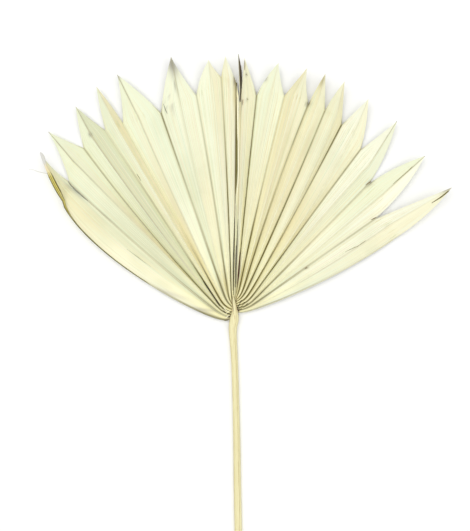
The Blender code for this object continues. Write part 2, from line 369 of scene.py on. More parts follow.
def toTip(line, tip, bow):
    start = line[-1]["at"]
    points = list(line)
    for row in range(1, blade["rowsToTip"] + 1):
        share = row / blade["rowsToTip"]
        flat = bowed(start.to_2d(), tip.to_2d(), share, bow)
        at = Vector((flat.x, flat.y, start.z + (tip.z - start.z) * share))
        far = line[-1]["far"] + (flat - start.to_2d()).length
        points.append({"at": at, "far": far, "along": 1.0 + share})
    return points


def fanHalves():
    # each segment's left and right half, between the valley or margin at its edge and the ridge at its crest
    halves = []
    edgeShape = (blade["leftEdgeBow"], blade["leftEdgeFullness"], blade["leftEdgeLean"])
    valley = foldLine(0, place(*blade["leftShoulder"]), *edgeShape)
    curlFrom = blade["leftEdgeCurlFrom"]
    for point in valley:
        share = max(0.0, point["along"] - curlFrom) / (1 - curlFrom)
        point["at"].z += blade["leftEdgeCurl"] * smooth(share)
    for number, segment in enumerate(segments):
        ridge = foldLine(2 * number + 1, place(*segment["ridge"]), segment["ridgeBow"])
        nextValley = foldLine(2 * number + 2, place(*segment["notch"]), segment["valleyBow"])
        tip = place(*segment["tip"]).to_3d()
        tip.z = ridge[-1]["at"].z + segment["curl"]
        crest = toTip(ridge, tip, 0.0)
        leftMargin, rightMargin = segment["margins"]
        for side, edge, bow in ((0, valley, -leftMargin), (1, nextValley, rightMargin)):
            half = {"segment": number, "side": side, "crest": crest, "pleat": segment["pleat"]}
            half["edge"] = toTip(edge, tip, bow)
            halves.append(half)
        valley = nextValley
    return halves


halves = fanHalves()
print("folds laid out:", len(halves) + 1)


def widthAt(half, row):
    edge, crest = half["edge"][row]["at"], half["crest"][row]["at"]
    return abs((edge - crest).to_2d().cross(crest.to_2d().normalized()))


def pastNotch(half, row):
    return max(0.0, half["edge"][row]["along"] - 1.0)


def pleatAt(half, row):
    return half["pleat"] * (1 - math.exp(-half["crest"][row]["far"] / blade["pleatLength"]))


def bellyAt(half, row):
    fullness = min(1.0, widthAt(half, row) / blade["fullWidth"])
    return half["belly"] * fullness * (1 - pastNotch(half, row))


def raisedShare(half, row, share):
    # the first segment rises in a smooth wave and the others in a fold, and at the tip all is level
    raised = (1 - math.cos(math.pi * share)) / 2 if half["segment"] == 0 else share
    return raised + (1 - raised) * pastNotch(half, row)


def topOf(half, row, share):
    at = half["edge"][row]["at"].lerp(half["crest"][row]["at"], share)
    at.z += pleatAt(half, row) * raisedShare(half, row, share)
    at.z += (blade["raised"] + blade["thickness"]) / mm
    return at


# how dark the valley beside this half is painted, as shade in its crease
def valleyShadeStops(half):
    number = half["segment"]
    if half["side"]:
        return segmentLooks[number]["valley"]
    return segmentLooks[number - 1]["valley"] if number else blade["leftEdgePaintedShade"]


# the painted shade of a valley's crease at a place along it
def valleyShadeAt(half, along):
    stops = list(zip(blade["valleyStops"], valleyShadeStops(half)))
    return graded(stops, along, soft=False) * clamp(1.0 - (along - 1.0) / blade["tipFade"])


def ridgeDarkness(half, along):
    stops = list(zip(blade["ridgeStops"], segmentLooks[half["segment"]]["ridge"]))
    return graded(stops, along, soft=False)


# materials


def newMaterial(name, roughness, gloss):
    material = bpy.data.materials.new(name)
    material.use_nodes = True
    tree = material.node_tree
    shader = tree.nodes["Principled BSDF"]
    shader.inputs["Roughness"].default_value = roughness
    shader.inputs["Specular IOR Level"].default_value = gloss
    return material, tree, shader


def attributeValue(tree, name, output="Fac"):
    return addNode(tree, "ShaderNodeAttribute", attribute_name=name).outputs[output]


def objectPlace(tree):
    return addNode(tree, "ShaderNodeTexCoord").outputs["Object"]


def fade(tree, value, first, last, start=0.0, end=1.0):
    inputs = {"Value": value, "From Min": first, "From Max": last, "To Min": start, "To Max": end}
    return addNode(tree, "ShaderNodeMapRange", inputs, interpolation_type="SMOOTHSTEP").outputs["Result"]


def blend(tree, factor, under, over):
    node = addNode(tree, "ShaderNodeMix", data_type="RGBA")
    for index, value in ((0, factor), (6, under), (7, over)):
        if isinstance(value, bpy.types.NodeSocket):
            tree.links.new(value, node.inputs[index])
        else:
            node.inputs[index].default_value = (*value, 1.0) if isinstance(value, tuple) else value
    return node.outputs[2]


def streaks(tree, vector, scale, detail=3.0):
    inputs = {0: vector, 1: scale}
    stretched = addNode(tree, "ShaderNodeVectorMath", inputs, operation="MULTIPLY").outputs[0]
    return noise(tree, stretched, 1.0, detail, Roughness=0.6)


def raiseBumps(tree, shader, height, strength, distance):
    bump = addNode(tree, "ShaderNodeBump", {"Height": height, "Strength": strength, "Distance": distance})
    tree.links.new(bump.outputs[0], shader.inputs["Normal"])


bladeFinish = {
    "roughness": 0.58,
    "gloss": 0.35,
    "fibreScale": (9.0, 9.0, 1.0),  # across in halves of a segment, along in metres
    "veinScale": (30.0, 5.0, 1.0),
    "cloudScale": 22.0,
    # a pattern, where its wash of colour starts and where it is full, how strong it is then, and its tone
    "washes": (
        ("broad", 0.45, 0.75, 0.35, "straw"),
        ("broad", 0.50, 0.30, 0.40, "mint"),
        ("fine", 0.48, 0.72, 0.60, "blush"),
        ("cloud", 0.47, 0.70, 0.32, "sage"),
    ),
    # reaches run from the hub in mm, and bands are shares of the way from a valley to its ridge
    "hubReach": (4.0, 100.0),
    "ridgeBand": (0.25, 0.70),
    # a painted highlight on the ridges near the hub, and painted shade in its valleys
    "ridgePaintedHighlight": (0.97, 0.92, 0.55),
    "ridgeHighlightStrength": 0.8,
    "valleyBand": (0.0, 0.24),
    "valleyShade": 0.9,
    "hubPaintedShade": (0.12, 0.09, 0.01),
    "closeReach": (3.0, 42.0),
    "closeTone": (0.58, 0.47, 0.10),
    "closeStrength": 0.26,
    "closeBand": (0.05, 0.75),
    "closeShades": (0.2, 1.0, 0.45, 1.0),  # a light and a dark valley's darkness, and the shade each gets
    # painted shade in a narrow band along each valley, and a darker line along each ridge
    "creaseTone": (0.24, 0.20, 0.04),
    "ridgeCrease": 0.50,
    "valleyCreaseShade": 0.95,
    # the spots' tones: stains and weathering, and at some spots painted shade
    "goldTone": (0.60, 0.52, 0.22),
    "greyTone": (0.33, 0.31, 0.27),
    "brownTone": (0.075, 0.05, 0.025),
    "bump": 0.5,
    "bumpDepth": 0.25 * mm,
}


def hubColour(tree, colour):
    # near the hub a painted highlight lies on the ridges and painted shade in the valleys, and close in all
    # of it is darker and warmer, with more painted shade in the darker valleys
    look = bladeFinish
    far, across = attributeValue(tree, "far"), attributeValue(tree, "across")
    nearHub = fade(tree, far, *look["hubReach"], 1.0, 0.0)
    close = fade(tree, far, *look["closeReach"], 1.0, 0.0)
    onRidge = fade(tree, across, *look["ridgeBand"], 0.0, look["ridgeHighlightStrength"])
    colour = blend(tree, maths(tree, "MULTIPLY", nearHub, onRidge), colour, look["ridgePaintedHighlight"])
    colour = blend(tree, maths(tree, "MULTIPLY", close, look["closeStrength"]), colour, look["closeTone"])
    shades = fade(tree, attributeValue(tree, "valleyDark"), *look["closeShades"])
    closeShade = maths(tree, "MULTIPLY", close, shades, fade(tree, across, *look["closeBand"], 1.0, 0.0))
    colour = blend(tree, closeShade, colour, look["hubPaintedShade"])
    inValley = fade(tree, across, *look["valleyBand"], 1.0, 0.0)
    shade = maths(tree, "MULTIPLY", nearHub, inValley, look["valleyShade"])
    return blend(tree, shade, colour, look["hubPaintedShade"])


def bladeMaterial():
    look = bladeFinish
    material, tree, shader = newMaterial("driedBlade", look["roughness"], look["gloss"])
    fibre = attributeValue(tree, "fibre", "Vector")
    patterns = {
        "broad": streaks(tree, fibre, look["fibreScale"]),
        "fine": streaks(tree, fibre, look["veinScale"], 2.0),
        "cloud": noise(tree, objectPlace(tree), look["cloudScale"], 3.0),
    }
    colour = attributeValue(tree, "tone", "Color")
    for pattern, first, full, strength, tone in look["washes"]:
        wash = fade(tree, patterns[pattern], first, full, 0.0, strength)
        colour = blend(tree, wash, colour, tones[tone])
    colour = hubColour(tree, colour)
    # painted shade along the valleys' creases, and a darker line along the ridges
    for fold, strength in (("Ridge", look["ridgeCrease"]), ("Valley", look["valleyCreaseShade"])):
        away, dark = attributeValue(tree, "from" + fold), attributeValue(tree, fold.lower() + "Dark")
        share = maths(tree, "DIVIDE", away, attributeValue(tree, "creaseReach"))
        crease = maths(tree, "MULTIPLY", fade(tree, share, 0.0, 1.0, strength, 0.0), dark)
        colour = blend(tree, crease, colour, look["creaseTone"])
    # the spots: stains and weathering, and at some spots painted shade
    for kind in ("gold", "grey", "brown"):
        colour = blend(tree, attributeValue(tree, kind), colour, look[kind + "Tone"])
    tree.links.new(colour, shader.inputs["Base Color"])
    relief = maths(tree, "ADD", patterns["broad"], patterns["fine"])
    raiseBumps(tree, shader, relief, look["bump"], look["bumpDepth"])
    return material


# the blade


def near(point, spot):
    x, y, halfWidth, halfLength, _, strength = spot[:6]
    away = point.to_2d() - Vector((x, y))
    if away.length > spotReach * max(halfWidth, halfLength):
        return 0.0
    along = Vector((x, y)).normalized()
    side = Vector((along.y, -along.x))
    return strength * math.exp(-((away.dot(side) / halfWidth) ** 2) - (away.dot(along) / halfLength) ** 2)


def spotStrength(point, kind, number):
    found = [spot for spot in spots if spot[4] == kind and number in (spot[6:] or (number,))]
    return min(1.0, sum(near(point, spot) for spot in found))


def bladeSheet():
    draw = random.Random(blade["seed"])
    layers, tone, fibre, points, faces = {}, [], [], [], []
    wide = len(blade["columns"])
    for order, half in enumerate(halves):
        number, side = half["segment"], half["side"]
        shade = draw.uniform(*blade["shadeRange"])
        half["belly"] = blade["belly"] * draw.uniform(*blade["bellyRange"])
        ends = segmentLooks[number]["right" if side else "left"].split()
        inner, outer = (Vector(tones[name]) * shade for name in ends)
        start = len(points)
        for row, (edge, crest) in enumerate(zip(half["edge"], half["crest"])):
            width = widthAt(half, row)
            outward = clamp((edge["along"] - blade["toneFrom"]) / blade["toneSpan"])
            crease = max(blade["leastCrease"], min(blade["creaseReach"], blade["creaseShare"] * width))
            sameInRow = {
                "pleatHeight": pleatAt(half, row) * mm,
                "belly": bellyAt(half, row) * mm,
                "far": crest["far"],
                # valleyDark carries the painted shade of the valley's crease
                "valleyDark": min(1.0, valleyShadeAt(half, edge["along"])),
                "ridgeDark": ridgeDarkness(half, crest["along"]),
                "creaseReach": crease,
            }
            for share in blade["columns"]:
                at = edge["at"].lerp(crest["at"], share)
                points.append(at * mm)
                tone.append((*inner.lerp(outer, smooth(outward)), 1.0))
                fibre.append((order + (1 - share if side else share), crest["far"] * mm, 0.0))
                values = {
                    "across": share,
                    "raiseShare": raisedShare(half, row, share),
                    "fromValley": share * width,
                    "fromRidge": (1 - share) * width,
                    **sameInRow,
                }
                for kind in ("brown", "grey", "gold"):
                    values[kind] = spotStrength(at, kind, number)
                for name, value in values.items():
                    layers.setdefault(name, []).append(value)
        for row in range(len(half["edge"]) - 1):
            for column in range(wide - 1):
                corner = start + row * wide + column
                quad = (corner, corner + 1, corner + wide + 1, corner + wide)
                faces.append(quad[::-1] if side else quad)
    mesh = bpy.data.meshes.new("blade")
    mesh.from_pydata(points, [], faces)
    for name, values in layers.items():
        setAttribute(mesh, name, "FLOAT", values)
    setAttribute(mesh, "tone", "FLOAT_COLOR", tone)
    setAttribute(mesh, "fibre", "FLOAT_VECTOR", fibre)
    return mesh


def pleatTree():
    # lifts the flat sheet into its pleats and ripples, then gives it its thickness
    sockets = dict.fromkeys(bladeSizes, "Float")
    tree, given, output = newTree("pleatedBlade", **sockets, material="Material")
    inputs = {"Geometry": given["Geometry"], "Distance": hair}
    welded = addNode(tree, "GeometryNodeMergeByDistance", inputs).outputs[0]
    bulge = maths(tree, "SINE", maths(tree, "MULTIPLY", namedValue(tree, "across"), math.pi))
    lift = maths(tree, "MULTIPLY", namedValue(tree, "pleatHeight"), namedValue(tree, "raiseShare"))
    belly = maths(tree, "MULTIPLY", namedValue(tree, "belly"), bulge)
    spot = addNode(tree, "GeometryNodeInputPosition").outputs[0]
    wave = maths(tree, "SUBTRACT", noise(tree, spot, given["rippleScale"], 2.0), 0.5)
    ripple = maths(tree, "MULTIPLY", wave, given["rippleHeight"], maths(tree, "POWER", bulge, 2.0))
    height = maths(tree, "ADD", lift, belly, ripple, given["raised"])
    offset = addNode(tree, "ShaderNodeCombineXYZ", {"Z": height}).outputs[0]
    lower = addNode(tree, "GeometryNodeSetPosition", {"Geometry": welded, "Offset": offset}).outputs[0]
    upward = addNode(tree, "ShaderNodeCombineXYZ", {"Z": 1.0}).outputs[0]
    inputs = {"Mesh": lower, "Offset": upward, "Offset Scale": given["thickness"], "Individual": False}
    upper = addNode(tree, "GeometryNodeExtrudeMesh", inputs, mode="FACES").outputs["Mesh"]
    under = addNode(tree, "GeometryNodeFlipFaces", {"Mesh": lower}).outputs[0]
    both = addNode(tree, "GeometryNodeJoinGeometry")
    for part in (upper, under):
        tree.links.new(part, both.inputs[0])
    inputs = {"Geometry": both.outputs[0], "Distance": hair}
    closed = addNode(tree, "GeometryNodeMergeByDistance", inputs).outputs[0]
    endTree(tree, closed, given, output)
    return tree


def settle(piece, sharp=None):
    # sharp is the angle in degrees past which an edge isn't shaded smooth
    mesh = piece.data
    for vert in mesh.vertices:
        vert.co += hubAt
    mesh.shade_smooth()
    if sharp is not None:
        mesh.set_sharp_from_angle(angle=math.radians(sharp))
    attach(piece, "root")
    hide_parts("palm_leaf")
    print(piece.name, "made:", len(mesh.polygons), "faces")


bladeValues = {name: blade[name] for name in bladeSizes}
leafBlade = grow("leafBlade", bladeSheet(), pleatTree(), **bladeValues, material=bladeMaterial())
settle(leafBlade, blade["sharpAngle"])


# round strands, which make all that is finer than the blade: a strand is a list of points, radii and tones


def strandMesh(name, strands):
    points, edges, radii, strandTones = [], [], [], []
    for strand in strands:
        for index, (at, radius, tone) in enumerate(strand):
            if index:
                edges.append((len(points) - 1, len(points)))
            points.append(at * mm)
            radii.append(radius * mm)
            strandTones.append((*tone, 1.0))
    mesh = bpy.data.meshes.new(name)
    mesh.from_pydata(points, edges, [])
    setAttribute(mesh, "radiusHere", "FLOAT", radii)
    setAttribute(mesh, "strandTone", "FLOAT_COLOR", strandTones)
    return mesh


def strandTree():
    tree, given, output = newTree("roundStrands", sides="Int", material="Material")
    curves = addNode(tree, "GeometryNodeMeshToCurve", {"Mesh": given["Geometry"]}).outputs[0]
    inputs = {"Resolution": given["sides"], "Radius": 1.0}
    ring = addNode(tree, "GeometryNodeCurvePrimitiveCircle", inputs).outputs[0]
    inputs = {"Curve": curves, "Profile Curve": ring, "Fill Caps": True}
    inputs["Scale"] = namedValue(tree, "radiusHere")
    tubes = addNode(tree, "GeometryNodeCurveToMesh", inputs).outputs[0]
    endTree(tree, tubes, given, output)
    return tree


roundStrands = strandTree()
strandFinish = {
    "roughness": 0.55,
    "gloss": 0.1,
    "patchBand": (0.45, 0.75),
    "bump": 0.3,
    "bumpDepth": 0.1 * mm,
}


def strandMaterial(name, scale, change):
    # a piece's patches are their scale and how far they take its strands' own tones towards straw
    look = strandFinish
    material, tree, shader = newMaterial(name, look["roughness"], look["gloss"])
    patches = noise(tree, objectPlace(tree), scale, 2.0)
    own = attributeValue(tree, "strandTone", "Color")
    colour = blend(tree, fade(tree, patches, *look["patchBand"], 0.0, change), own, tones["straw"])
    tree.links.new(colour, shader.inputs["Base Color"])
    raiseBumps(tree, shader, patches, look["bump"], look["bumpDepth"])
    return material


def growStrands(name, strands, sides, material, sharp=None):
    piece = grow(name, strandMesh(name, strands), roundStrands, sides=sides, material=material)
    settle(piece, sharp)


def tapered(index, count, length):
    return min(1.0, (index + 1) / length, (count - index) / length)


# ribs along the folds; the dark ribs in the valleys are painted shade of the creases

ribs = {
    # a place along the fold, and the radius of a light or a dark rib there in mm
    "radii": ((0.0, 0.20), (0.3, 0.30), (1.0, 0.30), (2.0, 0.12)),
    "darkRadii": ((0.0, 0.55), (0.2, 0.66), (0.4, 0.56), (1.0, 0.62), (2.0, 0.26)),
    "mostOfWidth": (0.12, 0.50),
    "leastRadius": 0.06,
    "sides": 6,
    "patches": (90.0, 0.15),
    "sunk": 0.14,
    "firstRow": 6,
    "light": (0.96, 0.94, 0.68),
    # the darkest rib's tone, which in the valleys is painted shade
    "dark": (0.095, 0.08, 0.01),
}


def ribRadius(value, width, dark):
    plain, strong = graded(ribs["radii"], value), graded(ribs["darkRadii"], value)
    least, most = ribs["mostOfWidth"]
    widest = max(ribs["leastRadius"], (least + (most - least) * dark) * width)
    return min(plain + (strong - plain) * dark, widest)


def foldStrands():
    # a right half brings its valley's rib, a left half its ridge's, and the first half the left edge's
    strands = []
    down = Vector((0.0, 0.0, ribs["sunk"]))
    light, dark = Vector(ribs["light"]), Vector(ribs["dark"])
    for half in halves:
        onRidge = half["side"] == 0 and half["segment"] > 0
        line = half["crest" if onRidge else "edge"]
        last = len(line) if onRidge else blade["rowsToNotch"] + 1
        strand = []
        for row in range(ribs["firstRow"], last):
            along = line[row]["along"]
            dim = ridgeDarkness(half, along) if onRidge else valleyShadeAt(half, along)
            width = widthAt(half, row) if along < 1.0 else blade["fullWidth"]
            at = topOf(half, row, 1.0 if onRidge else 0.0) - down
            strand.append((at, ribRadius(along, width, dim), light.lerp(dark, min(1.0, dim))))
        strands.append(strand)
    return strands


growStrands("foldRibs", foldStrands(), ribs["sides"], strandMaterial("foldRib", *ribs["patches"]))


# fine veins between the folds

veins = {
    "shares": (0.14, 0.27, 0.4, 0.53, 0.66, 0.79, 0.9),
    "jitter": 0.05,
    "firstRows": (30, 44),
    "rowsPastNotch": (4, 16),
    "step": 3,
    "taperSteps": 4,
    "radius": 0.15,
    "sunk": 0.05,
    "tones": ("blush", "tan", "sage", "straw", "pale"),
    "sides": 4,
    "patches": (60.0, 0.4),
    "seed": 23,
}


def veinStrands():
    draw = random.Random(veins["seed"])
    strands = []
    for half in halves:
        for evenShare in veins["shares"]:
            share = evenShare + draw.uniform(-veins["jitter"], veins["jitter"])
            first = draw.randint(*veins["firstRows"])
            last = blade["rowsToNotch"] + draw.randint(*veins["rowsPastNotch"])
            tone = Vector(tones[draw.choice(veins["tones"])])
            rows = range(first, last, veins["step"])
            strand = []
            for step, row in enumerate(rows):
                at = topOf(half, row, share)
                at.z += bellyAt(half, row) * math.sin(math.pi * share) - veins["sunk"]
                strand.append((at, veins["radius"] * tapered(step, len(rows), veins["taperSteps"]), tone))
            strands.append(strand)
    return strands


growStrands("fineVeins", veinStrands(), veins["sides"], strandMaterial("fineVein", *veins["patches"]))


# the rolled rim of the first segment, with the thread that hangs off it

rim = {
    "firstAlong": 0.35,
    # a place along the edge, and the radius there in mm
    "roll": (
        ((0.35, 0.06), (0.48, 0.22), (0.86, 0.30), (1.0, 0.9))
        + ((1.2, 1.45), (1.5, 1.5), (1.75, 1.2), (1.92, 1.5), (2.0, 0.5))
    ),
    "edges": ((0.35, 0.05), (0.48, 0.26), (0.9, 0.42), (1.1, 0.62), (1.5, 0.58), (1.6, 0.12), (2.0, 0.1)),
    # how far the roll's middle stands inward of the edge and over it, in radii
    "inward": 0.8,
    "up": 0.35,
    # the dark lines on the roll, which are painted shade along it: -1 is its outer edge, 0 the seam along its
    # top and 1 its inner edge
    "lines": (-1, 0, 1),
    "linesTo": 1.62,
    "lineOut": 0.92,
    "lineUp": 0.30,
    "seamFrom": 0.98,
    "seamStart": 0.15,
    "seamTaper": 0.12,
    "seamShare": 0.40,
    "seamLift": 0.12,
    "gold": (0.74, 0.64, 0.17),
    "tan": (0.80, 0.70, 0.44),
    "grey": (0.66, 0.65, 0.60),
    "olive": (0.12, 0.10, 0.02),
    "toneStops": ((0.9, "olive"), (1.05, "gold"), (1.5, "gold"), (1.65, "tan"), (1.7, "tan"), (1.8, "grey")),
    "thread": (
        (-155.5, 117.5, 11.5),
        (-160.0, 118.6, 12.6),
        (-164.6, 119.6, 13.4),
        (-168.8, 121.2, 13.6),
        (-172.4, 121.6, 13.2),
    ),
    "threadRadii": (0.28, 0.28, 0.28, 0.196, 0.196),
    "sharpAngle": 60,
    "sides": 10,
    "patches": (70.0, 0.25),
}


def rimStrands():
    half = halves[0]
    edge = half["edge"]
    toneStops = [(stop, Vector(rim[name])) for stop, name in rim["toneStops"]]
    up = Vector((0.0, 0.0, 1.0))
    roll, lines = [], {side: [] for side in rim["lines"]}
    for row, point in enumerate(edge):
        value = point["along"]
        if value < rim["firstAlong"]:
            continue
        radius = graded(rim["roll"], value)
        ahead, behind = edge[min(row + 1, len(edge) - 1)]["at"], edge[row - 1]["at"]
        run = (ahead - behind).to_2d().normalized()
        right = Vector((run.y, -run.x, 0.0))
        middle = topOf(half, row, 0.0) + (right * rim["inward"] + up * rim["up"]) * radius
        roll.append((middle, radius, graded(toneStops, value, soft=False)))
        for side, line in lines.items():
            if value >= rim["linesTo"] or (side >= 0 and value <= rim["seamFrom"]):
                continue
            thin = graded(rim["edges"], value)
            if side >= 0:
                thin *= min(1.0, rim["seamStart"] + (value - rim["seamFrom"]) / rim["seamTaper"])
            if side == 0:
                thin *= rim["seamShare"]
            over = radius * rim["lineUp"] if side else radius + rim["seamLift"]
            at = middle + right * side * radius * rim["lineOut"] + up * over
            line.append((at, thin, Vector(rim["olive"])))
    grey = Vector(rim["grey"])
    thread = [(Vector(at), radius, grey) for at, radius in zip(rim["thread"], rim["threadRadii"])]
    return [roll, *lines.values(), thread]


rimMaterial = strandMaterial("rolledRim", *rim["patches"])
growStrands("rolledRim", rimStrands(), rim["sides"], rimMaterial, rim["sharpAngle"])


# the stalk

stalk = {
    # y and x of the middle from the hub, width, height, and how far the underside is off the surface, in mm
    "rings": (
        (-231.0, 5.2, 6.3, 4.7, 0.0),
        (-217.0, 5.0, 6.2, 4.7, 0.0),
        (-185.0, 4.5, 6.1, 4.6, 0.3),
        (-142.0, 3.7, 5.8, 4.5, 0.7),
        (-100.0, 3.0, 5.5, 4.4, 1.1),
        (-60.0, 2.0, 5.4, 4.4, 1.4),
        (-38.0, 1.2, 5.5, 4.5, 1.6),
        (-24.0, 0.3, 6.0, 4.8, 1.8),
        (-13.0, -0.1, 6.9, 5.2, 2.0),
        (-5.5, 1.0, 7.8, 5.6, 2.2),
        (0.0, 1.5, 5.8, 5.7, 2.4),
        (5.0, 1.3, 3.8, 5.3, 2.7),
        (10.0, 0.7, 2.6, 4.6, 3.1),
        (15.3, 0.1, 0.8, 2.6, 3.7),
    ),
    "rows": 190,
    "rowCrowding": 1.25,
    "around": 30,
    "widestAt": 0.42,  # share of the height
    "underside": 1.3,  # a number above 1 flattens it
    "footBelow": -0.72,
    "footWidth": 0.86,
    "grooveDepth": 0.10,
    "grooves": 9,
    "grooveTwist": 0.02,
    "grooveFade": 0.035,
    "grooveFadeTurns": 2,
    "grooveSideways": 0.6,
    "sharpAngle": 40,
}
stalkFinish = {
    "light": (0.84, 0.79, 0.48),
    "dark": (0.70, 0.62, 0.33),
    "grainScale": (900.0, 14.0, 900.0),
    "grainBand": (0.38, 0.70),
    "roughness": 0.5,
    "gloss": 0.35,
    "bump": 0.4,
    "bumpDepth": 0.15 * mm,
}


def stalkMaterial():
    look = stalkFinish
    material, tree, shader = newMaterial("driedStalk", look["roughness"], look["gloss"])
    grain = streaks(tree, objectPlace(tree), look["grainScale"])
    colour = blend(tree, fade(tree, grain, *look["grainBand"]), look["light"], look["dark"])
    tree.links.new(colour, shader.inputs["Base Color"])
    raiseBumps(tree, shader, grain, look["bump"], look["bumpDepth"])
    return material


def curveBetween(share, start, end, slopeIn, slopeOut):
    square, cube = share**2, share**3
    ends = (2 * cube - 3 * square + 1) * start + (3 * square - 2 * cube) * end
    return ends + (cube - 2 * square + share) * slopeIn + (cube - square) * slopeOut


def stalkRing(y):
    # the stalk's middle, width, height and lift at y, on smooth curves through its rings
    rings = stalk["rings"]
    index = 0
    while index < len(rings) - 2 and y > rings[index + 1][0]:
        index += 1
    before, after = rings[index], rings[index + 1]
    first, last = rings[max(0, index - 1)], rings[min(len(rings) - 1, index + 2)]
    step = after[0] - before[0]
    values = []
    for column in range(1, len(before)):
        slopeIn = (after[column] - first[column]) / (after[0] - first[0]) * step
        slopeOut = (last[column] - before[column]) / (last[0] - before[0]) * step
        share = (y - before[0]) / step
        values.append(curveBetween(share, before[column], after[column], slopeIn, slopeOut))
    return values


def stalkPoint(y, angle):
    x, width, height, lift = stalkRing(y)
    side, up = math.sin(angle), math.cos(angle)
    level = stalk["widestAt"] * height
    if up > 0:
        z = lift + level + (height - level) * up
    else:
        z = lift + level + level * max(up * stalk["underside"], -1.0)
    if up <= stalk["footBelow"]:
        side *= stalk["footWidth"]
    groove = math.sin(stalk["grooves"] * angle + stalk["grooveTwist"] * y)
    groove *= stalk["grooveDepth"] * math.sin(stalk["grooveFade"] * y + stalk["grooveFadeTurns"] * angle)
    x += (width / 2 + groove * stalk["grooveSideways"]) * side
    return Vector((x, y, max(z + groove * max(0.0, up), lift)))


def stalkMesh():
    points, faces = [], []
    first, last = stalk["rings"][0][0], stalk["rings"][-1][0]
    around = stalk["around"]
    for row in range(stalk["rows"] + 1):
        share = row / stalk["rows"]
        y = first + (last - first) * (1 - (1 - share) ** stalk["rowCrowding"])
        points += [stalkPoint(y, 2 * math.pi * turn / around) * mm for turn in range(around)]
    for row in range(stalk["rows"]):
        for turn in range(around):
            a, b = row * around + turn, row * around + (turn + 1) % around
            faces.append((a, b, b + around, a + around))
    faces.append(tuple(range(around))[::-1])
    faces.append(tuple(range(len(points) - around, len(points))))
    mesh = bpy.data.meshes.new("leafStalk")
    mesh.from_pydata(points, [], faces)
    return mesh


leafStalk = bpy.data.objects.new("leafStalk", stalkMesh())
bpy.context.scene.collection.objects.link(leafStalk)
leafStalk.data.materials.append(stalkMaterial())
settle(leafStalk, stalk["sharpAngle"])


# fibres along the stalk, and the dark gaps beside its head, which are painted shade

fibres = {
    "count": 15,
    "turns": (-1.35, 1.35),
    "turnJitter": 0.3,
    "fromEnd": 0.4,
    "toHead": 1.0,
    "wholeShare": 0.6,  # how many of them start at the cut end
    "lastStart": -90.0,
    "earlyEnd": 26.0,
    "sway": 0.06,
    "swayRate": 0.03,
    "swayPhases": 6.28,
    "step": 2.5,
    "taperSteps": 5,
    "radius": 0.17,
    "radiusRange": (0.8, 1.15),
    "sunk": 0.07,
    "tones": (
        (0.90, 0.87, 0.58),
        (0.72, 0.64, 0.35),
        (0.80, 0.73, 0.42),
        (0.60, 0.52, 0.26),
        (0.86, 0.82, 0.52),
    ),
    "gapTurns": (-1.25, 1.3),
    "gapFrom": -2.0,
    "gapSteps": 8,
    "gapRadius": 0.16,
    "gapShadeTone": (0.12, 0.08, 0.03),
    "sides": 6,
    "patches": (120.0, 0.3),
    "seed": 8,
}


def stalkFibres():
    draw = random.Random(fibres["seed"])
    first = stalk["rings"][0][0] + fibres["fromEnd"]
    last = stalk["rings"][-1][0] - fibres["toHead"]
    firstTurn, lastTurn = fibres["turns"]
    down = Vector((0.0, 0.0, fibres["sunk"]))
    strands = []
    for number in range(fibres["count"]):
        jitter = draw.uniform(-fibres["turnJitter"], fibres["turnJitter"])
        turn = firstTurn + (lastTurn - firstTurn) * (number + jitter) / (fibres["count"] - 1)
        tone = Vector(draw.choice(fibres["tones"]))
        whole = draw.random() < fibres["wholeShare"]
        start = first if whole else draw.uniform(first, fibres["lastStart"])
        end = last - draw.uniform(0.0, fibres["earlyEnd"])
        phase = draw.uniform(0.0, fibres["swayPhases"])
        steps = int((end - start) / fibres["step"])
        strand = []
        for step in range(steps + 1):
            y = start + (end - start) * step / steps
            at = stalkPoint(y, turn + fibres["sway"] * math.sin(fibres["swayRate"] * y + phase))
            radius = fibres["radius"] * tapered(step, steps + 1, fibres["taperSteps"])
            strand.append((at - down, radius * draw.uniform(*fibres["radiusRange"]), tone))
        strands.append(strand)
    # dark strands of painted shade in the gaps beside the stalk's head
    for turn in fibres["gapTurns"]:
        strand = []
        for step in range(fibres["gapSteps"] + 1):
            share = step / fibres["gapSteps"]
            at = stalkPoint(fibres["gapFrom"] + (last - fibres["gapFrom"]) * share, turn)
            radius = fibres["gapRadius"] * (1 + math.sin(math.pi * share))
            strand.append((at, radius, Vector(fibres["gapShadeTone"])))
        strands.append(strand)
    return strands


growStrands("stalkFibres", stalkFibres(), fibres["sides"], strandMaterial("stalkFibre", *fibres["patches"]))


# marks, curls and bruises that lie on the blade and the stalk, and lines of painted shade in creases and gaps
# with one of painted highlight

